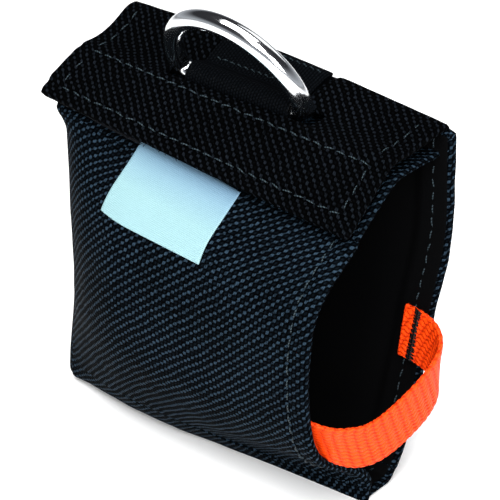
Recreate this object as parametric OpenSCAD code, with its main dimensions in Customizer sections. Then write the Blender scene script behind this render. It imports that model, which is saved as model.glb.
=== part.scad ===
// Tape-measure pouch of heavy woven nylon: a band of cloth wraps the back, the bottom and the front,
// a side wall closes the left end, and an orange webbing strap crosses the open right end.
// A flap with a steel D-ring folds over the top and closes on hook-and-loop tape.
// +X is the open end, +Y the back, +Z up. The origin is the middle of the flat bottom.

/* [Pouch] */
// Width of the flap and of the back panel's top
pouch_w = 92; // [76:1:112]
// Height of the closed cloth, without the ring
pouch_h = 88; // [72:1:108]
// Distance from the origin to the back panel's outer face
back_y = 22; // [18:1:27]
// Depth of the pouch at its open end
pouch_d = 49; // [42:1:58]
// Depth of the left side wall
wall_d = 26; // [22:1:30]
// Reach of the flat bottom in front of the origin
base_front = 5; // [4:0.5:7]
// Reach of the flat bottom behind the origin
base_back = 9; // [7:0.5:11]
// Height of the seam between the front panel and the bottom panel
seam_z = 9; // [7:0.5:11]

/* [Cloth] */
// Thickness of the panels, outer cloth and lining together
panel_t = 1.4; // [1:0.1:1.8]
// Thickness of the flap
flap_t = 1.6; // [1.2:0.1:2]
// Width of the hem turned in along the open edges
hem_w = 9; // [7:0.5:11]
// Thickness that the turned hem adds inside
hem_t = 0.8; // [0.5:0.1:1.2]
// Distance from a cloth edge to its stitch line
stitch_inset = 4.5; // [3:0.5:6]
// Thickness of the sewing thread
thread_t = 0.5; // [0.3:0.1:0.8]
// Gap left between two pieces that lie on each other
ply_gap = 0.25; // [0.2:0.05:0.4]

/* [Flap] */
// Depth of the flap's flat top, from the back face to the front fold
flap_top_d = 20.4; // [16:0.4:25]
// Distance that the flap's front reaches forward of its fold
flap_reach = 14.4; // [12:0.4:17]
// Distance that the flap's front drops below its fold
flap_drop = 10.8; // [9:0.3:13]
// Width of the hook-and-loop tapes, down the slope
tape_w = 13; // [10:0.5:16]
// Thickness of each tape
tape_t = 1; // [0.8:0.1:1.2]
// Distance from the flap's ends to the tapes' ends
tape_inset = 5; // [3:0.5:8]

/* [D-ring] */
// Width of the ring between the middles of its legs
ring_w = 36.5; // [32:0.5:42]
// Thickness of the ring's wire
ring_wire = 4.6; // [3.6:0.2:5.4]
// Height of the legs, from the bar's middle to where the arch begins
ring_leg = 3.6; // [3.4:0.2:8]
// Lean of the ring towards the front
ring_lean = 25; // [10:1:40]
// Position of the ring's bar, front to back
ring_y = 6.5; // [4:0.5:9]
// Width of the webbing that holds the bar
keeper_w = 30; // [24:1:34]
// Thickness of that webbing
keeper_t = 0.9; // [0.7:0.1:1.1]
// Running gap round the bar
ring_gap = 0.1; // [0.05:0.05:0.3]

/* [Strap] */
// Width of the orange retaining strap
strap_w = 12.7; // [10:0.3:16]
// Thickness of the strap
strap_t = 1.3; // [1:0.1:1.6]
// Height of the strap's middle at the front panel
strap_front_z = 24; // [22:1:28]
// Height of the strap's middle at the back panel
strap_back_z = 36; // [30:1:40]
// Distance that the strap bows out past the open end
strap_bow = 7.5; // [5:0.5:12]
// Length of strap sewn against each panel
strap_lap = 5.5; // [5:0.5:9]

/* [Label] */
// Width of the label patch
label_w = 30; // [24:1:36]
// Distance of the label's middle from the pouch's middle, towards the open end
label_x = -1.5; // [-8:0.5:8]
// Height of the label below the flap's edge
label_h = 19; // [14:1:22]
// Thickness of the label
label_t = 0.3; // [0.2:0.1:0.5]

/* [Hidden] */
$fn = 48;
black = "#1c1f24";
thread_black = "#2b2f36";
fuzz_black = "#141518";
steel = "#c9ccd1";
orange = "#ff5a14";
silver = "#dfe8ee";

half_w = pouch_w / 2;
front_y = back_y - pouch_d;
left_y = back_y - wall_d;
// gap between the closed hook and loop tapes, and the stack that stands over the tongue
close_gap = 0.8;
stack_t = flap_t + 2 * tape_t + close_gap;
fold_y = back_y - flap_top_d;
slope_len = norm([flap_reach, flap_drop]);
slope_dir = [-flap_reach, -flap_drop] / slope_len;
slope_out = [slope_dir[1], -slope_dir[0]];
// the flap's hinge lies in the middle of its cloth, over the back panel's top edge
hinge_y = back_y - flap_t / 2;
hinge_z = pouch_h - flap_t / 2;
back_top_z = hinge_z - flap_t / 2 - 0.4;
bar_z = pouch_h;
keeper_r = ring_wire / 2 + ring_gap + keeper_t;
slot_r = keeper_r + 0.4;
slot_w = ring_w + ring_wire + 3;

// points on the tongue's outer face, under the flap
tongue_top = pouch_h - stack_t;
tongue_edge = [fold_y, pouch_h] + slope_dir * slope_len - slope_out * stack_t;
tongue_upper = tongue_edge - slope_dir * (slope_len - 4);
tongue_fold = [fold_y + 5, tongue_top];
shoulder = tongue_edge + slope_dir * 14.5;

// Stations round the band, from the back panel's top down, under, up the front and over the top:
// outer face at the middle and right [y, z], at the left end [y, z], then the left and right edges' x.
high = pouch_h / 88;
RING = [
    [back_y, back_top_z, back_y, back_top_z, -half_w, half_w],
    [back_y, 62 * high, back_y, 62 * high, -half_w + 0.5, half_w - 0.5],
    [back_y - 1, 42 * high, back_y - 1, 42 * high, -half_w + 1.5, half_w - 2],
    [back_y - 3.2, 24 * high, back_y - 3.5, 24 * high, -half_w + 3, half_w - 3],
    [base_back + 6, 9, base_back + 5.5, 9, -half_w + 3.5, half_w - 4],
    [base_back, 0, base_back, 1, -half_w + 3.5, half_w - 4.5],
    [-base_front, 0, left_y + 1, 2, -half_w + 4.5, half_w - 4],
    [front_y + 11.5, seam_z, left_y - 3, seam_z, -half_w + 7.5, half_w - 3],
    [front_y + 4, 26 * high, left_y - 1.5, 26 * high, -half_w + 5, half_w - 2],
    [front_y + 0.5, 42 * high, left_y, 43 * high, -half_w + 3.5, half_w - 1],
    [front_y + 1, 56 * high, left_y, 58 * high, -half_w + 2.5, half_w - 0.6],
    [shoulder[0], shoulder[1], left_y - 0.5, shoulder[1] + 2, -half_w + 2, half_w - 0.4],
    [tongue_edge[0], tongue_edge[1], left_y - 5, tongue_edge[1] + 1, -half_w + 2, half_w - 0.4],
    [tongue_upper[0], tongue_upper[1], tongue_upper[0], tongue_upper[1], -half_w + 2, half_w - 0.4],
    [tongue_fold[0], tongue_fold[1], tongue_fold[0], tongue_fold[1], -half_w + 2, half_w - 0.4],
    [back_y - 4, tongue_top, back_y - 4, tongue_top, -half_w + 2, half_w - 0.4]];
// station numbers where the panels begin and end
S_BACK = 0;
S_BACK_SEAM = 4.6;
S_FRONT_SEAM = 7;
S_TONGUE = 12;
S_TONGUE_END = 15;
// where the front starts to turn back towards the left side wall
turn_x = -half_w + 38;
step = 0.25;

function curve(a, b, c, d, t) = 0.5 * ((2 * b) + (c - a) * t + (2 * a - 5 * b + 4 * c - d) * t * t
    + (3 * b - a - 3 * c + d) * t * t * t);
function station(s) = let (n = len(RING) - 1, i = min(max(floor(s), 0), n - 1), t = s - i)
    curve(RING[max(i - 1, 0)], RING[i], RING[i + 1], RING[min(i + 2, n)], t);
function left_x(s) = station(s)[4];
function right_x(s) = station(s)[5];
function unit(v) = v / norm(v);
// point on the band's outer face, which is flat where the pouch stands
function face(x, s) = let (p = station(s), u = max(0, (turn_x - x) / (turn_x - p[4])), k = u * u)
    [x, p[0] + (p[2] - p[0]) * k, max(0, p[1] + (p[3] - p[1]) * k)];
function outward(x, s) = unit(cross(face(x + 0.3, s) - face(x - 0.3, s),
    face(x, s + 0.02) - face(x, s - 0.02)));
function skin_at(x, s, out) = face(x, s) + out * outward(x, s);

// closed sheet from a grid of outer points and one of inner points, both [rows][columns]
module sheet(outer, inner) {
    rows = len(outer);
    cols = len(outer[0]);
    half = rows * cols;
    a = [for (row = outer) each row];
    b = [for (row = inner) each row];
    function at(i, j) = i * cols + j;
    rim = concat([for (j = [0:cols - 1]) at(0, j)], [for (i = [1:rows - 1]) at(i, cols - 1)],
        [for (j = [cols - 2:-1:0]) at(rows - 1, j)], [for (i = [rows - 2:-1:1]) at(i, 0)]);
    faces = concat(
        [for (i = [0:rows - 2]) for (j = [0:cols - 2]) each [
            [at(i, j), at(i + 1, j + 1), at(i, j + 1)], [at(i, j), at(i + 1, j), at(i + 1, j + 1)]]],
        [for (i = [0:rows - 2]) for (j = [0:cols - 2]) each [
            [half + at(i, j), half + at(i, j + 1), half + at(i + 1, j + 1)],
            [half + at(i, j), half + at(i + 1, j + 1), half + at(i + 1, j)]]],
        [for (k = [0:len(rim) - 1]) let (p = rim[k], q = rim[(k + 1) % len(rim)]) each [
            [p, half + q, half + p], [p, q, half + q]]]);
    polyhedron(points = concat(a, b), faces = faces);
}

// part of the band between two stations, between two edges, with its faces at two heights above it.
// An edge is ["left" | "right" | "mid", distance in x].
function edge_x(edge, s) = edge[1] + (edge[0] == "left" ? left_x(s) : edge[0] == "right" ? right_x(s) : 0);
module band(s0, s1, from, to, low, top, cols = 12, rows = 0) {
    n = rows > 0 ? rows : max(1, ceil((s1 - s0) / step));
    function grid(out) = [for (i = [0:n])
        let (s = s0 + (s1 - s0) * i / n, x0 = edge_x(from, s), x1 = edge_x(to, s))
        [for (j = [0:cols]) skin_at(x0 + (x1 - x0) * j / cols, s, out)]];
    sheet(grid(top), grid(low));
}
// stitch line that runs round the band, on its outer face unless it is put lower
module stitch_round(s0, s1, edge, low = ply_gap) {
    band(s0, s1, [edge[0], edge[1] - thread_t / 2], [edge[0], edge[1] + thread_t / 2],
        low, low + thread_t / 2, 1);
}

// cloth panel of the band, thicker by the hem that is turned in along its right edge
function panel_x(s, cols) = let (a = left_x(s), b = right_x(s) - hem_w - hem_t)
    concat([for (j = [0:cols]) a + (b - a) * j / cols], [right_x(s) - hem_w, right_x(s)]);
module panel(s0, s1, cols) {
    n = ceil((s1 - s0) / step);
    low = [for (j = [0:cols + 2]) -panel_t - (j > cols ? hem_t : 0)];
    function grid(inside) = [for (i = [0:n]) let (s = s0 + (s1 - s0) * i / n, xs = panel_x(s, cols))
        [for (j = [0:cols + 2]) skin_at(xs[j], s, inside ? low[j] : 0)]];
    color(black) sheet(grid(false), grid(true));
}
module front_panel() { panel(S_FRONT_SEAM, S_TONGUE - 0.04, 16); }
module back_panel() { panel(S_BACK, S_BACK_SEAM - 0.03, 4); }
module bottom_panel() { panel(S_BACK_SEAM, S_FRONT_SEAM - 0.04, 12); }
module inner_tongue() {
    color(black) band(S_TONGUE, S_TONGUE_END, ["left", 0], ["right", 0], -panel_t, 0, 14);
}

// side wall: each row spans from the band's left edge in front to its left edge behind, bowed outwards.
// The stations are those of its bottom and top rows.
wall_bow = 6.5;
S_WALL_FRONT = [5.75, 11.95];
S_WALL_BACK = [5.25, 0.15];
function wall_point(w, k) = let (
    s_front = S_WALL_FRONT[0] + (S_WALL_FRONT[1] - S_WALL_FRONT[0]) * w,
    s = S_WALL_BACK[0] + (S_WALL_BACK[1] - S_WALL_BACK[0]) * w,
    front = face(left_x(s_front), s_front),
    back = skin_at(left_x(s) + 0.8, s, -panel_t - ply_gap),
    bow = [-half_w - wall_bow * min(1, w * 8), (front[1] + back[1]) / 2 - 4, (front[2] + back[2]) / 2])
    front * (1 - k) * (1 - k) + bow * 2 * k * (1 - k) + back * k * k;
module left_side_wall() {
    rows = 20;
    cols = 8;
    function at(i, j) = wall_point(i / rows, 0.07 + 0.9 * j / cols);
    function out(i, j) = unit(cross(at(min(i + 1, rows), j) - at(max(i - 1, 0), j),
        at(i, min(j + 1, cols)) - at(i, max(j - 1, 0))));
    color(black) sheet([for (i = [0:rows]) [for (j = [0:cols]) at(i, j) - out(i, j) * panel_t]],
        [for (i = [0:rows]) [for (j = [0:cols]) at(i, j)]]);
}
module loop_tape() {
    run = tape_w / (slope_len - 4);
    color(fuzz_black) band(S_TONGUE + 0.12, S_TONGUE + 0.12 + run, ["left", tape_inset],
        ["right", -tape_inset], 0.1, tape_t, 12);
}
module label() {
    run = label_h / norm(face(0, S_TONGUE) - face(0, S_TONGUE - 1));
    color(silver) band(S_TONGUE - 0.06 - run, S_TONGUE - 0.06, ["mid", label_x - label_w / 2],
        ["mid", label_x + label_w / 2], ply_gap, ply_gap + label_t, 6);
}

module front_edge_stitching() {
    color(thread_black) stitch_round(S_FRONT_SEAM + 0.15, S_TONGUE - 0.15, ["right", -stitch_inset]);
}
module back_edge_stitching() {
    color(thread_black) {
        stitch_round(S_BACK + 0.1, S_BACK_SEAM - 0.2, ["right", -stitch_inset]);
        stitch_round(S_BACK + 0.1, S_BACK_SEAM - 0.2, ["left", stitch_inset]);
    }
}
module bottom_edge_stitching() {
    color(thread_black) stitch_round(S_BACK_SEAM + 0.15, S_FRONT_SEAM - 0.2, ["right", -stitch_inset],
        -panel_t - hem_t - ply_gap - thread_t / 2);
}
module tongue_stitching() {
    color(thread_black) {
        stitch_round(S_TONGUE + 2.05, S_TONGUE_END - 0.1, ["right", -stitch_inset]);
        stitch_round(S_TONGUE + 2.05, S_TONGUE_END - 0.1, ["left", stitch_inset]);
    }
}
module side_wall_stitching() {
    color(thread_black) stitch_round(S_FRONT_SEAM + 0.15, S_TONGUE - 0.4, ["left", 2]);
}

// strap: sewn inside the front panel's right edge, bowed out past the open end, sewn inside the back panel
strap_s_front = S_FRONT_SEAM + (strap_front_z - seam_z) / (26 * high - seam_z);
strap_s_back = 2 + (42 * high - strap_back_z) / (18 * high);
lap_gap = 0.7;
lap_out = -panel_t - hem_t - lap_gap - strap_t / 2;
function lap(s, inset, more = 0) = skin_at(right_x(s) - inset, s, lap_out - more);
STRAP = [lap(strap_s_front, strap_lap), lap(strap_s_front, strap_lap / 2), lap(strap_s_front, -0.8, 1.5),
    [half_w + strap_bow * 0.45, front_y + 14, strap_front_z - 1.5],
    [half_w + strap_bow * 0.9, front_y + 26, (strap_front_z * 3 + strap_back_z) / 4],
    [half_w + strap_bow, front_y + 37, (strap_front_z + 2 * strap_back_z) / 3],
    [half_w + strap_bow * 0.55, back_y - 6, strap_back_z - 0.8],
    lap(strap_s_back, -0.6, 0.4), lap(strap_s_back, strap_lap / 2), lap(strap_s_back, strap_lap)];
function strap_mid(q) = let (n = len(STRAP) - 1, i = min(floor(q), n - 1))
    curve(STRAP[max(i - 1, 0)], STRAP[i], STRAP[i + 1], STRAP[min(i + 2, n)], q - i);
function rise(s) = unit(face(right_x(s), s + 0.05) - face(right_x(s), s - 0.05));
function strap_up(q) = let (u = min(max((q - 2) / 5, 0), 1), f = rise(strap_s_front), b = -rise(strap_s_back))
    unit(f * (1 - u) + b * u);
function strap_ring(q) = let (t = unit(strap_mid(min(q + 0.05, 9)) - strap_mid(max(q - 0.05, 0))),
    up = unit(strap_up(q) - t * (strap_up(q) * t)), side = cross(t, up),
    c = strap_mid(q), a = up * strap_w / 2, b = side * strap_t / 2)
    [[c + a + b, c - a + b], [c + a - b, c - a - b]];
module retaining_strap() {
    rings = [for (i = [0:36]) strap_ring(i / 4)];
    color(orange) sheet([for (r = rings) r[0]], [for (r = rings) r[1]]);
}
module strap_front_bartack() {
    reach = strap_w / 2 / (26 * high - seam_z);
    color(thread_black) band(strap_s_front - reach, strap_s_front + reach, ["right", -stitch_inset - 1.2],
        ["right", -stitch_inset + 1.2], lap_out - strap_t / 2 - ply_gap - thread_t,
        lap_out - strap_t / 2 - ply_gap - 0.05, 1, 4);
}
module strap_back_bartack() {
    reach = strap_w / 2 / (18 * high);
    color(thread_black) band(strap_s_back - reach, strap_s_back + reach, ["right", -3.2],
        ["right", -0.8], lap_out - strap_t / 2 - ply_gap - thread_t,
        lap_out - strap_t / 2 - ply_gap, 1, 4);
}

// flap profile in [y, z]: a round bead on the hinge, the flat top, the fold and the front slope
fold_r = 5;
slope_angle = atan2(flap_drop, flap_reach);
fold_run = fold_r * tan(slope_angle / 2);
function fold_arc(r) = [for (i = [0:6]) let (a = 90 + slope_angle * i / 6)
    [fold_y + fold_run + r * cos(a), pouch_h - fold_r + r * sin(a)]];
slope_end = [fold_y, pouch_h] + slope_dir * slope_len;
module across(w) { translate([-w / 2, 0, 0]) rotate([90, 0, 90]) linear_extrude(w) children(); }
module on_slope() { translate([0, fold_y, pouch_h]) rotate([slope_angle, 0, 0]) children(); }
module top_flap() {
    color(black) difference() {
        union() {
            across(pouch_w) polygon(concat([[hinge_y, pouch_h]], fold_arc(fold_r), [slope_end],
                [slope_end - slope_out * flap_t], [for (i = [6:-1:0]) fold_arc(fold_r - flap_t)[i]],
                [[hinge_y, pouch_h - flap_t]]));
            translate([-half_w, hinge_y, hinge_z]) rotate([0, 90, 0]) cylinder(h = pouch_w, d = flap_t);
        }
        translate([-slot_w / 2, ring_y - slot_r, pouch_h - 2 * flap_t])
            cube([slot_w, 2 * slot_r, 3 * flap_t]);
    }
}
module hook_tape() {
    w = pouch_w - 2 * tape_inset;
    color(fuzz_black) on_slope() translate([-w / 2, -slope_len + 2, -flap_t - tape_t - 0.05])
        cube([w, tape_w, tape_t]);
}
module flap_stitching() {
    w = pouch_w - 2 * stitch_inset;
    color(thread_black) on_slope() for (y = [-slope_len + 3.7, -slope_len + 3.7 + tape_w * 0.8])
        translate([-w / 2, y - thread_t / 2, 0]) cube([w, thread_t, thread_t / 2]);
}
module flap_side_stitching() {
    run = back_y - 5 - fold_y - fold_run;
    color(thread_black) for (side = [-1, 1]) {
        translate([side * (half_w - stitch_inset) - thread_t / 2, fold_y + fold_run, pouch_h])
            cube([thread_t, run, thread_t / 2]);
        on_slope() translate([side * (half_w - stitch_inset) - thread_t / 2, -slope_len + 4.4, 0])
            cube([thread_t, tape_w * 0.8 - 1.4, thread_t / 2]);
    }
}
// webbing that wraps the ring's bar, both plies sewn down behind it
tail_end = ring_y + 13;
module ring_keeper() {
    color(black) across(keeper_w) difference() {
        union() {
            translate([ring_y, bar_z]) circle(r = keeper_r);
            translate([ring_y + keeper_r - keeper_t, pouch_h])
                square([tail_end - ring_y - keeper_r + keeper_t, 2 * keeper_t]);
        }
        translate([ring_y, bar_z]) circle(r = keeper_r - keeper_t);
    }
}
module keeper_stitching() {
    w = keeper_w - 4;
    color(thread_black) for (y = [ring_y + keeper_r + 2, tail_end - 1.5])
        translate([-w / 2, y - thread_t / 2, pouch_h + 2 * keeper_t]) cube([w, thread_t, thread_t / 2]);
}
module d_ring() {
    corner = ring_wire * 0.6;
    half = ring_w / 2;
    color(steel) translate([0, ring_y, bar_z]) rotate([ring_lean, 0, 0]) {
        translate([corner - half, 0, 0]) rotate([0, 90, 0]) cylinder(h = ring_w - 2 * corner, d = ring_wire);
        for (side = [-1, 1]) {
            translate([side * (half - corner), 0, corner]) rotate([90, 0, 0])
                rotate([0, 0, side > 0 ? -90 : 180])
                rotate_extrude(angle = 90) translate([corner, 0]) circle(d = ring_wire);
            translate([side * half, 0, corner]) cylinder(h = ring_leg - corner, d = ring_wire);
        }
        translate([0, 0, ring_leg]) rotate([90, 0, 0]) rotate_extrude(angle = 180)
            translate([half, 0]) circle(d = ring_wire);
    }
}

front_panel();
back_panel();
bottom_panel();
left_side_wall();
inner_tongue();
loop_tape();
label();
retaining_strap();
strap_front_bartack();
strap_back_bartack();
front_edge_stitching();
back_edge_stitching();
bottom_edge_stitching();
tongue_stitching();
side_wall_stitching();
top_flap();
hook_tape();
flap_stitching();
flap_side_stitching();
ring_keeper();
keeper_stitching();
d_ring();
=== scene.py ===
import bpy
import numpy as np
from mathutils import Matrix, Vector


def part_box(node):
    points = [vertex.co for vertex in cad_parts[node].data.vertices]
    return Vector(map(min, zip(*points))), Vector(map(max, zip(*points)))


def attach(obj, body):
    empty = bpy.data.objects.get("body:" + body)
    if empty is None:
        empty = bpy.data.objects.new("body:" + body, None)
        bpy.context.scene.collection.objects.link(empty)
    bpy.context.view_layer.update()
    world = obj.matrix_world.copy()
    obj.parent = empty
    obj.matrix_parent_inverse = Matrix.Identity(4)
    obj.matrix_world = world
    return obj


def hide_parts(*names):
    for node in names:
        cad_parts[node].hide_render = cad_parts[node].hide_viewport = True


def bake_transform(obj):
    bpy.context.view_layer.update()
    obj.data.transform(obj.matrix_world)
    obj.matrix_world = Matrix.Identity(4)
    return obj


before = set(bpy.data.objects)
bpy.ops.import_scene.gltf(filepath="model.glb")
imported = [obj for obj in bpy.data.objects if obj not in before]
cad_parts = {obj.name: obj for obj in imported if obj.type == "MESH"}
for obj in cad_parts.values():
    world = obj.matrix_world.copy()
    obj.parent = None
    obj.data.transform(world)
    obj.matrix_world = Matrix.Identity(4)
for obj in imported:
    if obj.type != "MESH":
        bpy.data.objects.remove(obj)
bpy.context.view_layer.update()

# ----------
# Studio: a pale floor, broad soft lamps round the pouch, and a camera in front of its open right
# corner that looks down on it.
# ----------
scene = bpy.context.scene
scene.view_settings.view_transform = "Standard"
turn, rise = np.radians(40.5), np.radians(29.0)
stand_off, look_height = 0.6, 0.045
aim_right, aim_up = 0.0056, 0.0048
away = np.array([np.sin(turn) * np.cos(rise), -np.cos(turn) * np.cos(rise), np.sin(rise)])
rightwards = np.array([np.cos(turn), np.sin(turn), 0.0])
upwards = np.cross(away, rightwards)
aim = np.array([0.0, 0.0, look_height]) + aim_right * rightwards + aim_up * upwards
camera = bpy.data.objects.new("camera", bpy.data.cameras.new("camera"))
camera.location = Vector(aim + stand_off * away)
camera.rotation_mode = "QUATERNION"
camera.rotation_quaternion = Vector(-away).to_track_quat("-Z", "Y")
camera.data.lens = 188.6
camera.data.sensor_width = 36
camera.data.clip_start = 0.01
scene.collection.objects.link(camera)
scene.camera = camera

floor_mesh = bpy.data.meshes.new("floor")
floor_mesh.from_pydata([(-4, -4, 0), (4, -4, 0), (4, 4, 0), (-4, 4, 0)], [], [(0, 1, 2, 3)])
floor = bpy.data.objects.new("floor", floor_mesh)
scene.collection.objects.link(floor)
paper = bpy.data.materials.new("pale_paper")
paper.use_nodes = True
paper.node_tree.nodes["Principled BSDF"].inputs["Base Color"].default_value = (0.97, 0.97, 0.97, 1)
paper.node_tree.nodes["Principled BSDF"].inputs["Roughness"].default_value = 0.9
floor_mesh.materials.append(paper)

world = bpy.data.worlds.new("studio")
world.use_nodes = True
heaven = world.node_tree.nodes.new("ShaderNodeTexCoord")
height_of = world.node_tree.nodes.new("ShaderNodeSeparateXYZ")
fade_up = world.node_tree.nodes.new("ShaderNodeValToRGB")
fade_up.color_ramp.elements[0].position = 0.02
fade_up.color_ramp.elements[0].color = (0.45, 0.47, 0.5, 1)
fade_up.color_ramp.elements[1].position = 0.42
fade_up.color_ramp.elements[1].color = (0.03, 0.03, 0.034, 1)
world.node_tree.links.new(heaven.outputs["Generated"], height_of.inputs[0])
world.node_tree.links.new(height_of.outputs[2], fade_up.inputs[0])
world.node_tree.links.new(fade_up.outputs[0], world.node_tree.nodes["Background"].inputs["Color"])
scene.world = world


def softbox(name, side, height, distance, size, power):
    """Square lamp on a circle round the pouch, side degrees round from the front, aimed at it."""
    lamp = bpy.data.lights.new(name, "AREA")
    lamp.size = size
    lamp.energy = power
    box = bpy.data.objects.new(name, lamp)
    a, e = np.radians(side), np.radians(height)
    place = np.array([np.sin(a) * np.cos(e), -np.cos(a) * np.cos(e), np.sin(e)])
    box.location = Vector(np.array([0, 0, 0.05]) + distance * place)
    box.rotation_mode = "QUATERNION"
    box.rotation_quaternion = Vector(-place).to_track_quat("-Z", "Y")
    scene.collection.objects.link(box)


softbox("front_lamp", 38, 42, 1.1, 0.6, 17)
softbox("right_lamp", 60, 22, 1.1, 0.5, 6)
softbox("overhead_lamp", 0, 80, 1.2, 1.0, 18)
softbox("back_lamp", 175, 40, 1.3, 0.8, 2.5)

# ----------
# Front panel: black ballistic nylon in a heavy basket weave over a smooth lining. It rises from the
# bottom seam to the flap, its left part turned back to the side wall, its right edge a sewn hem.
# ----------
MM = 0.001
flap_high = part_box("top_flap")[1]
half_w = flap_high.x / MM
back_y = flap_high.y / MM
top_z = flap_high.z / MM
front_y = back_y - 49
left_y = back_y - 26
fold_y = back_y - 20.4
panel_t = 1.4
flap_t = 1.6
hem_w = 9
hem_t = 0.8
hem_round = 0.7
stitch_in = 4.5
turn_x = 38 - half_w
slope = np.array([-0.8, -0.6])
slope_out = np.array([-0.6, 0.8])
tongue_edge = np.array([fold_y, top_z]) + slope * 18 - slope_out * 4.4
tongue_upper = tongue_edge - slope * 14
shoulder = tongue_edge + slope * 14.5
# round the band from the back's top down, under, and up the front: y and z of its outer face at the
# middle, y and z at the left end, then x of its left and right edges
STATIONS = np.array([
    [back_y + 0.3, top_z - 2, back_y, top_z - 2, -half_w, half_w + 1.2],
    [back_y + 1, 62, back_y, 62, 0.5 - half_w, half_w + 1],
    [back_y, 42, back_y - 1, 42, 1.5 - half_w, half_w - 1.8],
    [back_y - 3.2, 24, back_y - 3.5, 24, 3 - half_w, half_w - 3],
    [15, 9, 14.5, 9, 3.5 - half_w, half_w - 4],
    [9, 0, 9, 1, 3 - half_w, half_w - 4.5],
    [-4, 0, left_y - 0.5, 1, 2.2 - half_w, half_w - 4],
    [front_y + 12.5, 10, left_y - 3, 7.6, 2.4 - half_w, half_w - 3],
    [front_y + 4, 26, left_y - 1.5, 26, 2.4 - half_w, half_w - 2],
    [front_y + 0.5, 42, left_y, 43, 1.8 - half_w, half_w - 1],
    [front_y + 1, 56, left_y, 58, 1.5 - half_w, half_w - 0.6],
    [shoulder[0], shoulder[1], left_y - 0.5, shoulder[1] + 4.2, 1.2 - half_w, half_w - 0.4],
    [tongue_edge[0], tongue_edge[1], left_y - 5, tongue_edge[1] + 3.6, 3 - half_w, half_w - 0.4],
    [tongue_upper[0], tongue_upper[1], tongue_upper[0], tongue_upper[1] + 0.8, 2 - half_w, half_w - 0.4],
    [fold_y + 5, top_z - 4.4, fold_y + 5, top_z - 4.4, 2 - half_w, half_w - 0.4],
    [back_y - 4, top_z - 4.4, back_y - 4, top_z - 4.4, 2 - half_w, half_w - 0.4]])


def through_rows(table, s):
    """Catmull-Rom curve through the rows of a table, at row number s."""
    last = len(table) - 1
    i = np.clip(np.floor(s).astype(int), 0, last - 1)
    t = (s - i)[..., None]
    a, b, c, d = (table[np.clip(i + k, 0, last)] for k in (-1, 0, 1, 2))
    return 0.5 * (2 * b + (c - a) * t + (2 * a - 5 * b + 4 * c - d) * t**2 + (3 * b - a - 3 * c + d) * t**3)


def station(s):
    """Row of the station table at s."""
    return through_rows(STATIONS, s)


def across_three(x, left, middle, right):
    """Parabola in x through the values at the left end, the middle and the right end."""
    t = x / half_w
    return left * t * (t - 1) / 2 + middle * (1 - t * t) + right * t * (t + 1) / 2


foot_tuck, foot_lift = 0.19, 0.05
back_press = (3.2, 4.0, 0.6)


def face(x, s):
    """Point on the band's outer face: the middle's y and z, drawn towards the left end's with the
    square of the distance past turn_x. The foot is tucked back towards the open end, and the back's
    top edge is pressed up by the tape measure inside."""
    p = station(s)
    k = np.maximum(0, (turn_x - x) / (turn_x - p[..., 4])) ** 2
    y = p[..., 0] + (p[..., 2] - p[..., 0]) * k
    z = p[..., 1] + (p[..., 3] - p[..., 1]) * k
    past = np.maximum(0, x + 8)
    y = y + foot_tuck * past * np.exp(-(((s - 6.6) / 0.6) ** 2))
    z = z + foot_lift * past * np.exp(-(((s - 7.0) / 0.7) ** 2)) * np.clip(s - 6, 0, 1)
    z = z + across_three(x, *back_press) * np.clip(1 - s, 0, 1) ** 2
    return np.stack([x, y, np.maximum(z, 0)], -1)


def unit(v):
    """Vectors over their own lengths."""
    return v / np.maximum(np.linalg.norm(v, axis=-1, keepdims=True), 1e-9)


def outward(x, s):
    """Normal of the band: the slope across, crossed with the slope along."""
    return unit(np.cross(face(x + 0.3, s) - face(x - 0.3, s), face(x, s + 0.02) - face(x, s - 0.02)))


def ripple(u, v, size, seed):
    """Slow folds from -1 to 1: five plane waves of about that size in seeded directions."""
    rng = np.random.default_rng(seed)
    angle, phase = rng.uniform(0, np.pi, 5), rng.uniform(0, 2 * np.pi, 5)
    pace = 2 * np.pi / (size * rng.uniform(0.7, 1.5, 5))
    waves = [np.sin((u * np.cos(a) + v * np.sin(a)) * p + f) for a, p, f in zip(angle, pace, phase)]
    return sum(waves) / 3.2


def pucker(inset, along, pitch=3.4, depth=0.35):
    """Height beside a stitch line inset mm away: a groove at the thread, deepest between stitches,
    and a low swell on both sides of it."""
    groove = np.exp(-(inset / 0.9) ** 2) * (0.75 + 0.25 * np.cos(2 * np.pi * along / pitch))
    return depth * (0.5 * np.exp(-((np.abs(inset) - 2.2) / 1.3) ** 2) - groove)


def run_length(grid, axis):
    """Distance along the grid lines of one axis, from the middle of each line."""
    step = np.linalg.norm(np.diff(grid, axis=axis), axis=-1)
    start = np.zeros_like(np.take(step, [0], axis))
    run = np.concatenate([start, np.cumsum(step, axis)], axis)
    return run - np.take(run, [run.shape[axis] // 2], axis)


def make_mesh(name, points, faces, uv):
    """Smooth mesh from points in mm, faces by index and one UV pair for each face corner."""
    mesh = bpy.data.meshes.new(name)
    mesh.from_pydata((points * MM).tolist(), [], faces.tolist())
    mesh.uv_layers.new(name="cloth")
    mesh.uv_layers["cloth"].data.foreach_set("uv", np.ascontiguousarray(uv, dtype=np.float32).ravel())
    mesh.polygons.foreach_set("use_smooth", np.ones(len(faces), bool))
    mesh.update()
    piece = bpy.data.objects.new(name, mesh)
    scene.collection.objects.link(piece)
    return piece


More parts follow.
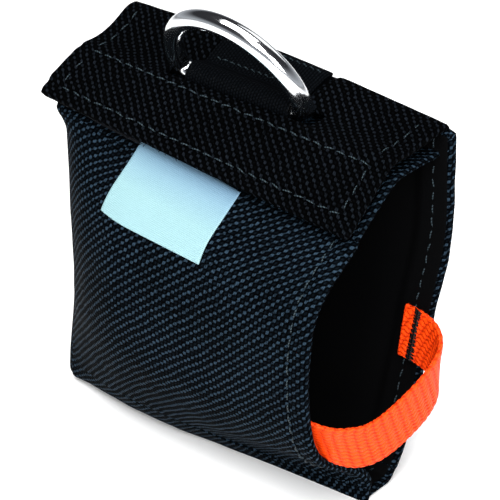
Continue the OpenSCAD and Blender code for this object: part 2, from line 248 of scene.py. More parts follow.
def closed_sheet(name, outer, inner, keep=None, bulge=1.0, rings=5):
    """Cloth with a real thickness: an outer and an inner grid of points, joined round every edge and
    hole by a rim whose section is half a circle, times bulge. The UV pair is the distance in mm
    across and along the cloth."""
    rows, cols = outer.shape[:2]
    count = rows * cols
    index = np.arange(count).reshape(rows, cols)
    quads = np.stack([index[:-1, :-1], index[:-1, 1:], index[1:, 1:], index[1:, :-1]], -1)
    quads = quads[keep] if keep is not None else quads.reshape(-1, 4)
    a, b = outer.reshape(-1, 3), inner.reshape(-1, 3)
    uv = np.stack([run_length(outer, 1), run_length(outer, 0)], -1).reshape(-1, 2)
    normal = np.cross(a[quads[:, 1]] - a[quads[:, 0]], a[quads[:, 3]] - a[quads[:, 0]])
    turned = (normal * (a - b)[quads[:, 0]]).sum() < 0
    if turned:
        quads = quads[:, ::-1]
    edges = np.concatenate([quads[:, [k, (k + 1) % 4]] for k in range(4)])
    rim = edges[~np.isin(edges[:, 0] * count + edges[:, 1], edges[:, 1] * count + edges[:, 0])]
    push = unit(np.cross(a[rim[:, 1]] - a[rim[:, 0]], (a - b)[rim[:, 0]]))
    spread = uv[rim[:, 1]] - uv[rim[:, 0]]
    spread = unit(np.stack([spread[:, 1], -spread[:, 0]], -1)) * (-1 if turned else 1)
    side, uv_side = np.zeros((count, 3)), np.zeros((count, 2))
    for k in (0, 1):
        np.add.at(side, rim[:, k], push)
        np.add.at(uv_side, rim[:, k], spread)
    lip = np.unique(rim)
    number = np.zeros(count, int)
    number[lip] = np.arange(len(lip))
    side, uv_side = unit(side[lip]), unit(uv_side[lip])
    half = (a[lip] - b[lip]) / 2
    thick = np.linalg.norm(half, axis=1, keepdims=True)
    angle = np.pi * np.arange(rings + 1)[:, None, None] / rings
    ring = (a[lip] - half) + half * np.cos(angle) + side * thick * bulge * np.sin(angle)
    ring_uv = uv[lip] + uv_side * thick * angle
    points = np.concatenate([a, b, ring[1:-1].reshape(-1, 3)])
    at = 2 * count + np.arange((rings - 1) * len(lip)).reshape(rings - 1, -1)
    at = np.concatenate([lip[None], at, lip[None] + count])
    p, q = number[rim[:, 0]], number[rim[:, 1]]
    walls = np.stack([at[:-1, q], at[:-1, p], at[1:, p], at[1:, q]], -1).reshape(-1, 4)
    walls_uv = np.stack([ring_uv[:-1, q], ring_uv[:-1, p], ring_uv[1:, p], ring_uv[1:, q]], -2)
    faces = np.concatenate([quads, quads[:, ::-1] + count, walls])
    face_uv = np.concatenate([uv[quads], uv[quads[:, ::-1]], walls_uv.reshape(-1, 4, 2)])
    used, faces = np.unique(faces, return_inverse=True)
    piece = make_mesh(name, points[used], faces.reshape(-1, 4), face_uv.reshape(-1, 2))
    piece["quads_a_side"] = len(quads)
    return piece


def coat_back(piece, finish):
    """Second material on the faces of the sheet's inner grid, which follow those of the outer one."""
    piece.data.materials.append(finish)
    count = piece["quads_a_side"]
    side = np.zeros(len(piece.data.polygons), np.int32)
    side[count:2 * count] = 1
    piece.data.polygons.foreach_set("material_index", side)


def seam_s(x):
    """Station of the seam between front and bottom: in view at the left, wrapped under at the right."""
    t = np.clip((x + 14) / 40, 0, 1)
    return 7 - 0.55 * t * t * (3 - 2 * t)


def panel(name, first, last, rows, cols, seed, groove=0.35):
    """Band of cloth between two station lines, thicker inside by the hem along its right edge, with
    puckers at its stitch lines and slow folds between them."""
    v, u = np.meshgrid(np.linspace(0, 1, rows), np.linspace(0, 1, cols), indexing="ij")
    middle = station(first(np.zeros(1)) * 0.5 + last(np.zeros(1)) * 0.5)[0]
    across = middle[4] + (middle[5] - hem_round - middle[4]) * u
    s = first(across) + (last(across) - first(across)) * v
    edge = station(s)
    x = edge[..., 4] + (edge[..., 5] - hem_round - edge[..., 4]) * u
    normal = outward(x, s)
    skin = face(x, s)
    along = run_length(skin, 0)
    from_right = edge[..., 5] - x
    lift = pucker(from_right - stitch_in, along, depth=groove) + 0.3 * ripple(x, along, 34, seed)
    lift += 0.12 * ripple(x, along, 11, seed + 1)
    lift *= np.clip(skin[..., 2] / 2, 0, 1)
    thick = panel_t + hem_t / (1 + np.exp((from_right - hem_w) * 3))
    outer = skin + normal * lift[..., None]
    outer[..., 2] = np.maximum(outer[..., 2], 0)
    inner = skin - normal * (thick + 0.15 * ripple(x, along, 17, seed + 2))[..., None]
    piece = closed_sheet(name, outer, inner)
    return piece, outer


def calc(tree, kind, *values):
    """Math node: its operation applied to sockets or numbers."""
    node = tree.nodes.new("ShaderNodeMath")
    node.operation = kind
    for k, value in enumerate(values):
        if isinstance(value, (int, float)):
            node.inputs[k].default_value = value
        else:
            tree.links.new(value, node.inputs[k])
    return node.outputs[0]


def noise(tree, vector, scale, detail=2.0):
    """Noise texture on a vector, from about 0.25 to 0.75."""
    node = tree.nodes.new("ShaderNodeTexNoise")
    node.inputs["Scale"].default_value = scale
    node.inputs["Detail"].default_value = detail
    tree.links.new(vector, node.inputs["Vector"])
    return node


def blend_colour(tree, share, low, high):
    """Colour between low and high by share."""
    node = tree.nodes.new("ShaderNodeMix")
    node.data_type = "RGBA"
    tree.links.new(share, node.inputs[0])
    for socket, value in ((node.inputs[6], low), (node.inputs[7], high)):
        if isinstance(value, tuple):
            socket.default_value = (*value, 1)
        else:
            tree.links.new(value, socket)
    return node.outputs[2]


def ridges(tree, value, pace=np.pi):
    """Row of ridges: the absolute sine of value times pace."""
    return calc(tree, "ABSOLUTE", calc(tree, "SINE", calc(tree, "MULTIPLY", value, pace)))


def new_finish(name, **constants):
    """Material with one principled shader, whose constant sockets are given by name."""
    finish = bpy.data.materials.new(name)
    finish.use_nodes = True
    shader = finish.node_tree.nodes["Principled BSDF"]
    for socket, value in constants.items():
        shader.inputs[socket.replace("_", " ")].default_value = value
    return finish, finish.node_tree, shader


def relief(tree, shader, height, depth, strength=1.0):
    """Bump node of that depth in mm on the shader's normal."""
    bump = tree.nodes.new("ShaderNodeBump")
    bump.inputs["Strength"].default_value = strength
    bump.inputs["Distance"].default_value = depth * MM
    tree.links.new(height, bump.inputs["Height"])
    tree.links.new(bump.outputs[0], shader.inputs["Normal"])


def cloth_plane(tree):
    """The piece's own UV vector in mm, and its two parts."""
    uv = tree.nodes.new("ShaderNodeUVMap")
    uv.uv_map = "cloth"
    parts = tree.nodes.new("ShaderNodeSeparateXYZ")
    tree.links.new(uv.outputs[0], parts.inputs[0])
    return uv.outputs[0], parts.outputs[0], parts.outputs[1]


cell_w, cell_h = 1.14, 1.07
weave_depth = 0.4


def basket_weave(name, crown, gap):
    """Ballistic nylon: a chequer of cells, where upright pairs of yarns rise as knots over level pairs
    that lie deep between them. A knot's height is a soft step of two slanting cosines, the rising one
    the stronger, cut by the groove between its yarns; colour and roughness follow the height, and
    the colour's near-black low end is painted shade in the grooves between the knots."""
    finish, tree, shader = new_finish(name, Specular_IOR_Level=0.008)
    plane, u, v = cloth_plane(tree)
    drift = tree.nodes.new("ShaderNodeSeparateColor")
    tree.links.new(noise(tree, plane, 0.22, 3).outputs["Color"], drift.inputs[0])
    u = calc(tree, "ADD", calc(tree, "DIVIDE", u, cell_w), calc(tree, "MULTIPLY", drift.outputs[0], 0.9))
    v = calc(tree, "ADD", calc(tree, "DIVIDE", v, cell_h), calc(tree, "MULTIPLY", drift.outputs[1], 0.9))
    rising = calc(tree, "COSINE", calc(tree, "MULTIPLY", calc(tree, "SUBTRACT", u, v), np.pi))
    falling = calc(tree, "COSINE", calc(tree, "MULTIPLY", calc(tree, "ADD", u, v), np.pi))
    chequer = calc(tree, "MULTIPLY_ADD", falling, -0.36, calc(tree, "MULTIPLY", rising, 0.64))
    yarn = noise(tree, plane, 1.3, 2).outputs["Fac"]
    rough_edge = calc(tree, "MULTIPLY_ADD", calc(tree, "SUBTRACT", yarn, 0.5), 1.3, chequer)
    knot = tree.nodes.new("ShaderNodeMapRange")
    knot.interpolation_type = "SMOOTHSTEP"
    knot.inputs["From Min"].default_value = -0.12
    knot.inputs["From Max"].default_value = 0.8
    tree.links.new(rough_edge, knot.inputs["Value"])
    pair = ridges(tree, u, 2 * np.pi)
    under = calc(tree, "MULTIPLY", calc(tree, "MAXIMUM", calc(tree, "MULTIPLY", chequer, -1), 0), 0.24)
    height = calc(tree, "MULTIPLY_ADD", knot.outputs[0], calc(tree, "MULTIPLY_ADD", pair, 0.25, 0.75), under)
    patches = calc(tree, "MULTIPLY_ADD", noise(tree, plane, 0.05, 2).outputs["Fac"], 1.2, 0.4)
    specks = calc(tree, "MULTIPLY_ADD", noise(tree, plane, 1.2, 3).outputs["Fac"], 4.0, -1.0)
    fade = calc(tree, "MULTIPLY", patches, specks)
    share = calc(tree, "MULTIPLY", calc(tree, "POWER", height, 1.7), fade)
    # painted shade: the colour falls to the near-black gap colour deep in the grooves between the knots
    tree.links.new(blend_colour(tree, share, gap, crown), shader.inputs["Base Color"])
    tree.links.new(calc(tree, "MULTIPLY_ADD", height, -0.4, 0.85), shader.inputs["Roughness"])
    relief(tree, shader, height, weave_depth)
    return finish


ballistic = basket_weave("ballistic_nylon", (0.0195, 0.036, 0.055), (0.0001, 0.0001, 0.0002))
front_top_s, bottom_back_s, back_foot_s = 11.96, 4.6, 4.57
front_panel, front_grid = panel("front_panel_cloth", seam_s, lambda x: np.full_like(x, front_top_s),
                                150, 110, 3)
coating = new_finish("black_coating", Base_Color=(0.0012, 0.0013, 0.0015, 1), Roughness=0.7,
                     Specular_IOR_Level=0.03)[0]
front_panel.data.materials.append(ballistic)
coat_back(front_panel, coating)
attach(front_panel, "pouch")
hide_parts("front_panel")

# ----------
# Bottom panel: the same nylon, sewn to the front along a seam that shows at the left, flat where
# the pouch stands, and hemmed at the open end.
# ----------
bottom_panel, bottom_grid = panel("bottom_panel_cloth", lambda x: np.full_like(x, bottom_back_s),
                                  lambda x: seam_s(x) - 0.03, 70, 100, 11, groove=0.1)
bottom_panel.data.materials.append(ballistic)
coat_back(bottom_panel, coating)
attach(bottom_panel, "pouch")
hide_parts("bottom_panel")

# ----------
# Back panel: the same nylon from the flap's fold down to the bottom, hemmed along both edges.
# ----------
back_panel, back_grid = panel("back_panel_cloth", lambda x: np.full_like(x, 0.0),
                              lambda x: np.full_like(x, back_foot_s), 130, 100, 23)
back_panel.data.materials.append(ballistic)
coat_back(back_panel, coating)
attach(back_panel, "pouch")
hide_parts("back_panel")

# ----------
# Left side wall: one piece of the nylon that closes the left end, sewn to the turned edges of the
# front and the back, and bowed outwards by the tape measure's round case.
# ----------


wall_bow = 6.5


def wall_point(w, k):
    """Side wall at height w and depth k: a quadratic curve from the front's left edge to the back's,
    pulled out to the left in between."""
    s_front, s_back = 5.75 + 6.2 * w, 5.25 - 5.1 * w
    x_front, x_back = station(s_front)[..., 4], station(s_back)[..., 4] + 0.8
    front = face(x_front, s_front)
    back = face(x_back, s_back) - outward(x_back, s_back) * (panel_t + 0.25)
    bow = (front + back) / 2
    bow[..., 0] = -half_w - wall_bow * np.minimum(1, w * 8)
    bow[..., 1] -= 4
    k = k[..., None]
    return front * (1 - k) ** 2 + bow * 2 * k * (1 - k) + back * k * k


w, k = np.meshgrid(np.linspace(0, 1, 110), 0.03 + 0.96 * np.linspace(0, 1, 46), indexing="ij")
wall = wall_point(w, k)
wall_out = unit(np.cross(np.gradient(wall, axis=0), np.gradient(wall, axis=1)))
wall_lift = 0.3 * ripple(w * 80, k * 30, 26, 41) - 0.3 * np.exp(-(k / 0.06) ** 2)
wall_grid = wall + wall_out * wall_lift[..., None]
side_wall = closed_sheet("side_wall_cloth", wall_grid, wall - wall_out * panel_t)
side_wall.data.materials.append(ballistic)
coat_back(side_wall, coating)
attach(side_wall, "pouch")
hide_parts("left_side_wall")

# ----------
# Inner tongue: the front's cloth carried on over the top, under the flap, with its edges sewn down.
# ----------
v, u = np.meshgrid(np.linspace(12.0, 15.0, 60), np.linspace(0, 1, 100), indexing="ij")
tongue_edges = station(v)
tongue_x = tongue_edges[..., 4] + (tongue_edges[..., 5] - 0.4 - tongue_edges[..., 4]) * u
tongue_grid = face(tongue_x, v)
tongue_out = outward(tongue_x, v)
inner_tongue = closed_sheet("inner_tongue_cloth", tongue_grid, tongue_grid - tongue_out * panel_t)
inner_tongue.data.materials.append(ballistic)
coat_back(inner_tongue, coating)
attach(inner_tongue, "pouch")
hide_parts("inner_tongue")

# ----------
# Hook-and-loop tapes: the loop tape sewn on the tongue, the hook tape under the flap. Each is a
# woven nylon strip with rows of loops or of stiff bent hooks.
# ----------


def tufts(name, base, out, along, reach, height, thick, seed, hooked):
    """Small bent threads standing on base points: each follows half a circle (loop) or three
    quarters of one (hook) of that height, leaning along, with a four-sided section."""
    rng = np.random.default_rng(seed)
    sweep = np.linspace(0, np.pi * (1.35 if hooked else 1.0), 6)
    spin = rng.uniform(-0.5, 0.5, len(base)) if hooked else rng.uniform(-np.pi, np.pi, len(base))
    side = np.cross(out, along)
    lean = along * np.cos(spin)[:, None] + side * np.sin(spin)[:, None]
    span = reach * (1 - np.cos(sweep)) / 2
    rise_up = height * np.sin(np.minimum(sweep, np.pi / 2)) - height * 0.45 * np.maximum(0, sweep - np.pi / 2)
    if not hooked:
        rise_up = height * np.sin(sweep)
    spine = base[:, None] + lean[:, None] * span[:, None] + out[:, None] * rise_up[:, None]
    flow = unit(np.gradient(spine, axis=1))
    flank = unit(np.cross(lean, out))[:, None] + flow * 0
    top = np.cross(flow, flank)
    corner = np.pi / 4 + np.pi / 2 * np.arange(4)
    ring = spine[:, :, None] + thick / 2 * (flank[:, :, None] * np.cos(corner)[:, None]
                                            + top[:, :, None] * np.sin(corner)[:, None])
    count = len(base)
    at = np.arange(count * 24).reshape(count, 6, 4)
    around = np.roll(at, -1, axis=2)
    faces = np.stack([at[:, :-1], at[:, 1:], around[:, 1:], around[:, :-1]], -1).reshape(-1, 4)
    caps = np.concatenate([at[:, 0], at[:, -1, ::-1]])
    faces = np.concatenate([faces, caps])
    uv = np.tile([[0.0, 0.0], [0.0, 1.0], [1.0, 1.0], [1.0, 0.0]], (len(faces), 1))
    return make_mesh(name, ring.reshape(-1, 3), faces, uv)


pile, pile_tree, pile_shader = new_finish("black_pile", Roughness=0.85, Specular_IOR_Level=0.05)
pile_plane = cloth_plane(pile_tree)[0]
pile_fuzz = noise(pile_tree, pile_plane, 2.5, 4).outputs["Fac"]
pile_tree.links.new(blend_colour(pile_tree, pile_fuzz, (0.002, 0.002, 0.003), (0.02, 0.022, 0.026)),
                    pile_shader.inputs["Base Color"])
relief(pile_tree, pile_shader, pile_fuzz, 0.3)

v, u = np.meshgrid(np.linspace(12.12, 13.05, 24), np.linspace(5 - half_w + 2, half_w - 5.4, 120),
                   indexing="ij")
tape_out = outward(u, v)
tape_low = face(u, v) + tape_out * 0.1
tape_top = tape_low + tape_out * (0.35 + 0.08 * ripple(u, v * 13, 2.5, 5))[..., None]
loop_tape = closed_sheet("loop_tape_strip", tape_top, tape_low, bulge=0.4, rings=3)
loop_tape.data.materials.append(pile)
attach(loop_tape, "pouch")
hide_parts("loop_tape")
v, u = np.meshgrid(np.linspace(12.15, 13.02, 12), np.linspace(7.5 - half_w, half_w - 6, 76), indexing="ij")
jitter = np.random.default_rng(8).uniform(-0.4, 0.4, (2, *v.shape))
v, u = (v + jitter[0] * 0.05).ravel(), (u + jitter[1]).ravel()
loop_out = outward(u, v)
loops = tufts("loop_tape_loops", face(u, v) + loop_out * 0.4, loop_out,
              np.tile([1.0, 0, 0], (len(u), 1)), 0.9, 0.5, 0.14, 6, False)
loops.data.materials.append(pile)
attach(loops, "pouch")

# ----------
# Flap: two plies of the nylon turned in and sewn together. It bends over the back panel's top edge,
# lies flat with a slot for the ring, and folds down over the front.
# ----------
fold_r = 5.0
slope_turn = np.arctan2(10.8, 14.4)
fold_run = fold_r * np.tan(slope_turn / 2)
ring_y = 6.5
slot_half, slot_r = 22.05, 3.7
back_r = 1.9
bend = np.linspace(0, np.pi / 2, 8)
fold = np.pi / 2 + np.linspace(0, slope_turn, 10)
slope_end = np.array([fold_y, top_z]) + slope * 18
flap_path = np.concatenate([
    [[back_y, top_z - 2.3]],
    np.stack([back_y - back_r + back_r * np.cos(bend), top_z - back_r + back_r * np.sin(bend)], -1),
    np.stack([fold_y + fold_run + fold_r * np.cos(fold), top_z - fold_r + fold_r * np.sin(fold)], -1),
    [slope_end]])
flap_arc = np.concatenate([[0], np.cumsum(np.linalg.norm(np.diff(flap_path, axis=0), axis=1))])
arc_of_y = {y: float(np.interp(-y, -flap_path[:, 0], flap_arc)) for y in (ring_y + slot_r, ring_y - slot_r)}
slot_back, slot_front = arc_of_y[ring_y + slot_r], arc_of_y[ring_y - slot_r]
arcs = np.concatenate([np.linspace(0, slot_back, 26), np.linspace(slot_back, slot_front, 9)[1:],
                       np.linspace(slot_front, flap_arc[-1] - 0.8, 34)[1:]])
spans = np.concatenate([np.linspace(0.8 - half_w, -slot_half, 34), np.linspace(-slot_half, slot_half, 60)[1:],
                        np.linspace(slot_half, half_w - 0.8, 34)[1:]])


# how far the flap stands off its flat pattern, up and forward, at distances along it from the back:
# at the left end, in the middle and at the right end
RISE = np.array([[0, 3.6, 3.8, 1.2], [4.2, 5.4, 5.0, 1.2], [8.2, 3.2, 4.2, 0.8], [11, 1.8, 1.7, 0.5],
                 [13.2, 0.6, 0.0, 0.2], [21.3, -0.2, -0.2, 0.0], [26, 0.8, 0.0, 0.3], [32.7, 2.9, 0.3, -0.6],
                 [41, 3.6, 0.8, -1.8]])
REACH = np.array([[0, 0, 0, 0], [26, 0, 0, 0], [32.7, 0, 0, -0.8], [41, 1.1, 0, -1.6]])


def along_flap(table, x, arc):
    """Value of a table at x and a distance along: straight between its rows, and eased."""
    soft = [sum(np.interp(arc + d, table[:, 0], table[:, k]) for d in (-2.4, -1.2, 0, 1.2, 2.4)) / 5
            for k in (1, 2, 3)]
    return across_three(x, *soft)


def dent(x, arc):
    """Depth to which the keeper's sewn tail presses the flap down: a soft-sided box."""
    sideways = 1.1 / (1 + np.exp(2.5 * (np.abs(x) - 15.6)))
    return sideways * np.clip((11.5 - arc) / 3, 0, 1) * np.clip(arc / 3, 0, 1)


def flap_place(x, arc):
    """Flap's outer face at x and a distance along it from the back: its folded pattern, raised and
    pushed forward by the two tables."""
    y, z = np.interp(arc, flap_arc, flap_path[:, 0]), np.interp(arc, flap_arc, flap_path[:, 1]) - dent(x, arc)
    return np.stack([x + 0 * y, y + along_flap(REACH, x, arc), z + along_flap(RISE, x, arc)], -1)


def flap_skin(x, arc):
    """Flap's outer face and its normal: the slope along it crossed with the slope across."""
    flow = flap_place(x, arc + 0.4) - flap_place(x, arc - 0.4)
    return flap_place(x, arc), unit(np.cross(flow, flap_place(x + 0.3, arc) - flap_place(x - 0.3, arc)))


arc, x = np.meshgrid(arcs, spans, indexing="ij")
skin, normal = flap_skin(x, arc)
to_end = flap_arc[-1] - arc
to_side = half_w - np.abs(x)


low_row, high_row, row_dip = 3.7, 16.4, 1.4


def row_at(x, row):
    """Distance of the two stitch rows from the flap's front edge; the upper one follows the fold."""
    return low_row + 0 * x if row == 0 else high_row - row_dip * x / half_w


lift = 0.25 * ripple(x, arc, 30, 51) + 0.1 * ripple(x, arc, 9, 52)
for row in (0, 1):
    lift += pucker(to_end - row_at(x, row), x, depth=0.3)
lift += pucker(to_side - stitch_in, arc, depth=0.2) * np.clip((arc - 8) / 4, 0, 1)
lift *= np.clip(arc / 4, 0, 1) * (1 - 0.85 * np.exp(-(((arc - 17) / 7.5) ** 4) - (x / 25) ** 4))
flap_grid = skin + normal * lift[..., None]
hole = (np.abs(x) < slot_half + 0.01) & (arc > slot_back - 0.01) & (arc < slot_front + 0.01)
in_hole = hole[:-1, :-1] & hole[1:, :-1] & hole[1:, 1:] & hole[:-1, 1:]
flap = closed_sheet("flap_cloth", flap_grid, skin - normal * flap_t, keep=~in_hole)
# A darker copy of the ballistic nylon, its crown colour about a third as bright: painted shade over the whole
# flap.
shaded_flap_nylon = basket_weave("shaded_flap_nylon", (0.0058, 0.0078, 0.0108), (0.0001, 0.0001, 0.0001))
flap.data.materials.append(shaded_flap_nylon)
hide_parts("top_flap")
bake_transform(flap)

hook_from, hook_to = 15, 2
tape_arc = np.linspace(flap_arc[-1] - hook_from, flap_arc[-1] - hook_to, 24)
arc, x = np.meshgrid(tape_arc, np.linspace(5 - half_w, half_w - 5, 120), indexing="ij")
skin, normal = flap_skin(x, arc)
under = skin - normal * (flap_t + 0.1)
hook_tape = closed_sheet("hook_tape_strip", under - normal * 0.4, under, bulge=0.4, rings=3)
hook_tape.data.materials.append(pile)
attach(hook_tape, "flap")
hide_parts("hook_tape")
arc, x = np.meshgrid(np.linspace(flap_arc[-1] - 14.4, flap_arc[-1] - 2.7, 9),
                     np.linspace(6 - half_w, half_w - 6, 60), indexing="ij")
skin, normal = flap_skin(x.ravel(), arc.ravel())
hooks = tufts("hook_tape_hooks", skin - normal * (flap_t + 0.5), -normal,
              np.tile([1.0, 0, 0], (len(skin), 1)), 0.5, 0.55, 0.16, 9, True)
hooks.data.materials.append(pile)
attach(hooks, "flap")

# ----------
# Ring keeper: a strip of fine nylon webbing wrapped round the ring's bar, both ends sewn down
# behind it on the flap.
# ----------
keeper_t = 0.9
keeper_half = 14.6
bar_r = 2.3
tail_y = ring_y + 13
keeper_r = bar_r + 0.1 + keeper_t
keeper_low = bar_r + 0.1
x_across = np.linspace(-keeper_half, keeper_half, 60)
tail = np.linspace(tail_y, ring_y + keeper_r + 0.6, 14)
turn_over = np.radians(np.linspace(52, 340, 44))
outer_line = np.concatenate([
    np.stack([tail, np.full_like(tail, top_z + 2 * keeper_t)], -1),
    np.stack([ring_y + keeper_r * np.cos(turn_over), top_z + keeper_r * np.sin(turn_over)], -1)])
inner_line = np.concatenate([
    np.stack([tail, np.full_like(tail, top_z + keeper_t + 0.02)], -1),
    np.stack([ring_y + keeper_low * np.cos(turn_over), top_z + keeper_low * np.sin(turn_over)], -1)])


def drawn_across(line, x):
    """Section line in y and z carried across x, and raised with the flap behind the bar."""
    y = line[:, :1] + 0 * x
    arc = np.interp(-y, -flap_path[:, 0], flap_arc)
    rise_up = (along_flap(RISE, x + 0 * y, arc) - dent(0, arc)) * np.clip((y - ring_y - 1) / 6, 0, 1)
    return np.stack([x + 0 * y, y, line[:, 1:] + rise_up], -1)


def ribbed_web(name, rib, pick, crown, gap):
    """Plain webbing: ribs along the strip, each crossed by picks that alternate from rib to rib."""
    finish, tree, shader = new_finish(name, Specular_IOR_Level=0.01)
    plane, u, v = cloth_plane(tree)
    u = calc(tree, "DIVIDE", u, rib)
    v = calc(tree, "DIVIDE", v, pick)
    row = calc(tree, "MULTIPLY", calc(tree, "PINGPONG", calc(tree, "FLOOR", u), 1), 0.5)
    across = ridges(tree, u)
    along = ridges(tree, calc(tree, "ADD", v, row))
    height = calc(tree, "MULTIPLY", across, calc(tree, "MULTIPLY_ADD", along, 0.7, 0.3))
    grain = noise(tree, plane, 1.4, 3).outputs["Fac"]
    share = calc(tree, "MULTIPLY", height, calc(tree, "ADD", grain, 0.5))
    tree.links.new(blend_colour(tree, share, gap, crown), shader.inputs["Base Color"])
    tree.links.new(calc(tree, "MULTIPLY_ADD", share, -0.2, 0.6), shader.inputs["Roughness"])
    relief(tree, shader, height, 0.25)
    return finish


black_web = ribbed_web("black_webbing", 0.8, 0.9, (0.0024, 0.0032, 0.0044), (0.0001, 0.0001, 0.0001))
keeper_grid = drawn_across(outer_line, x_across)
keeper = closed_sheet("ring_keeper_webbing", keeper_grid, drawn_across(inner_line, x_across), bulge=0.7)
keeper.data.materials.append(black_web)
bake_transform(keeper)
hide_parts("ring_keeper")
under_line = np.array([[tail_y, top_z + keeper_t - 0.02], [ring_y + keeper_r - 0.9, top_z + keeper_t - 0.02]])
under_low = under_line - [0, keeper_t - 0.1]
keeper_ply = closed_sheet("ring_keeper_lower_ply", drawn_across(under_line, x_across),
                          drawn_across(under_low, x_across), bulge=0.7)
keeper_ply.data.materials.append(black_web)
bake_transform(keeper_ply)

# ----------
# D-ring: bent from round steel wire, butt-welded in the middle of its bar, polished and chromed.
# It swings in the keeper and rests leaning forward.
# ----------
ring_half = 18.25
corner_r = 0.6 * 2 * bar_r
leg = 3.6
lean = np.radians(25)
quarter = np.linspace(0, np.pi / 2, 12)
arch = np.linspace(0, np.pi, 90)
bar = np.linspace(0, ring_half - corner_r, 20)
ring_line = np.concatenate([
    np.stack([bar, 0 * bar], -1),
    np.stack([ring_half - corner_r + corner_r * np.sin(quarter),
              corner_r - corner_r * np.cos(quarter)], -1)[1:],
    np.stack([ring_half * np.cos(arch), leg + ring_half * np.sin(arch)], -1),
    np.stack([corner_r - ring_half - corner_r * np.cos(quarter), corner_r - corner_r * np.sin(quarter)], -1),
    np.stack([-bar[::-1], 0 * bar], -1)[1:-1]])
flow = unit(np.roll(ring_line, -1, axis=0) - np.roll(ring_line, 1, axis=0))
aside = np.stack([flow[:, 1], -flow[:, 0]], -1)
around = np.linspace(0, 2 * np.pi, 32, endpoint=False)
seam = 1 + 0.03 * np.exp(-((ring_line[:, 0] / 0.5) ** 2)) * (ring_line[:, 1] < 1)
flat_ring = ring_line[:, None] + aside[:, None] * (bar_r * seam[:, None] * np.cos(around))[..., None]
depth = bar_r * seam[:, None] * np.sin(around)
height = flat_ring[..., 1]
ring_points = np.stack([flat_ring[..., 0], ring_y + depth * np.cos(lean) - height * np.sin(lean),
                        top_z + depth * np.sin(lean) + height * np.cos(lean)], -1)
rings, sides = ring_points.shape[:2]
at = np.arange(rings * sides).reshape(rings, sides)
ahead, beside = np.roll(at, -1, axis=0), np.roll(at, -1, axis=1)
both = np.roll(ahead, -1, axis=1)
ring_faces = np.stack([at, ahead, both, beside], -1).reshape(-1, 4)
ring_uv = np.tile([[0.0, 0.0], [1.0, 0.0], [1.0, 1.0], [0.0, 1.0]], (len(ring_faces), 1))
d_ring = make_mesh("d_ring_wire", ring_points.reshape(-1, 3), ring_faces, ring_uv)
chrome, chrome_tree, chrome_shader = new_finish("polished_chrome", Metallic=1.0,
                                                Base_Color=(0.86, 0.88, 0.9, 1))
chrome_place = chrome_tree.nodes.new("ShaderNodeTexCoord").outputs["Object"]
wear = noise(chrome_tree, chrome_place, 60, 1).outputs["Fac"]
chrome_tree.links.new(calc(chrome_tree, "MULTIPLY_ADD", wear, 0.06, 0.09), chrome_shader.inputs["Roughness"])
relief(chrome_tree, chrome_shader, wear, 0.01, 0.3)
d_ring.data.materials.append(chrome)
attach(d_ring, "ring")
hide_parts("d_ring")

# ----------
# Retaining strap: half-inch orange nylon webbing, sewn inside the front and the back panel at the
# open end and bowed out between them, so that the tape measure can't slide out.
# ----------
strap_w, strap_t = 12.7, 1.3
strap_bow, strap_lap = 7.5, 5.5
strap_front_z, strap_back_z = 24, 36
s_strap_front = 7 + 15 / 17
s_strap_back = 2 + 6 / 18
lap_out = -panel_t - hem_t - 0.7 - strap_t / 2


def lap(s, inset, more=0.0):
    """Middle of the strap where it lies inside a panel, inset from the panel's right edge."""
    s = np.array([s])
    x = station(s)[..., 5] - inset
    return (face(x, s) + outward(x, s) * (lap_out - more))[0]


# the CAD strap's own path: it leaves the front, bows out by strap_bow and climbs to the back
STRAP = np.array([
    lap(s_strap_front, strap_lap), lap(s_strap_front, strap_lap / 2), lap(s_strap_front, -0.8, 1.5),
    [half_w + strap_bow * 0.45, front_y + 14, strap_front_z - 1.5],
    [half_w + strap_bow * 0.9, front_y + 26, (strap_front_z * 3 + strap_back_z) / 4],
    [half_w + strap_bow, front_y + 37, (strap_front_z + 2 * strap_back_z) / 3],
    [half_w + strap_bow * 0.55, back_y - 6, strap_back_z - 0.8],
    lap(s_strap_back, -0.6, 0.4), lap(s_strap_back, strap_lap / 2), lap(s_strap_back, strap_lap)])


def edge_rise(s):
    """Direction of the band's right edge at station s."""
    ends = [np.array([s + k]) for k in (0.05, -0.05)]
    high, low = (face(station(e)[..., 5], e)[0] for e in ends)
    return unit(high - low)


def eased(line, reach):
    """Running mean of a line over reach points to each side, with its ends carried straight on."""
    ahead = line[-1] + (line[-1] - line[-2]) * np.arange(1, reach + 1)[:, None]
    behind = line[0] - (line[1] - line[0]) * np.arange(reach, 0, -1)[:, None]
    padded = np.concatenate([behind, line, ahead])
    weights = np.full(2 * reach + 1, 1 / (2 * reach + 1))
    return np.stack([np.convolve(part, weights, "valid") for part in padded.T], -1)


dense = np.linspace(0, 9, 700)
dense_step = np.linalg.norm(np.diff(through_rows(STRAP, dense), axis=0), axis=1)
dense_arc = np.concatenate([[0], np.cumsum(dense_step)])
strap_arc = np.linspace(0, dense_arc[-1], 300)
q = np.interp(strap_arc, dense_arc, dense)
bow_ease, twist_ease = 42, 40
middle = eased(through_rows(STRAP, q), bow_ease)
flow = unit(np.gradient(middle, axis=0))
share = np.clip((q - 2) / 5, 0, 1)[:, None]
up = edge_rise(s_strap_front) * (1 - share) - edge_rise(s_strap_back) * share
up = eased(up, twist_ease)
up = unit(up - flow * (up * flow).sum(-1, keepdims=True))
face_out = np.cross(flow, up)
across = np.linspace(-1, 1, 57)
column, pick = 2.5, 1.15
arc, wide = np.meshgrid(strap_arc, across, indexing="ij")
rib = wide * strap_w / 2 / pick + 0.28 * np.sin(np.pi * arc / column) * np.cos(np.pi * np.floor(arc / column))
knit = 0.4 * np.abs(np.sin(np.pi * rib)) ** 0.8 + 0.6 * np.abs(np.sin(np.pi * arc / column)) ** 0.6
scallop = 0.22 * np.abs(np.sin(np.pi * arc / 1.65)) * np.abs(wide) ** 6
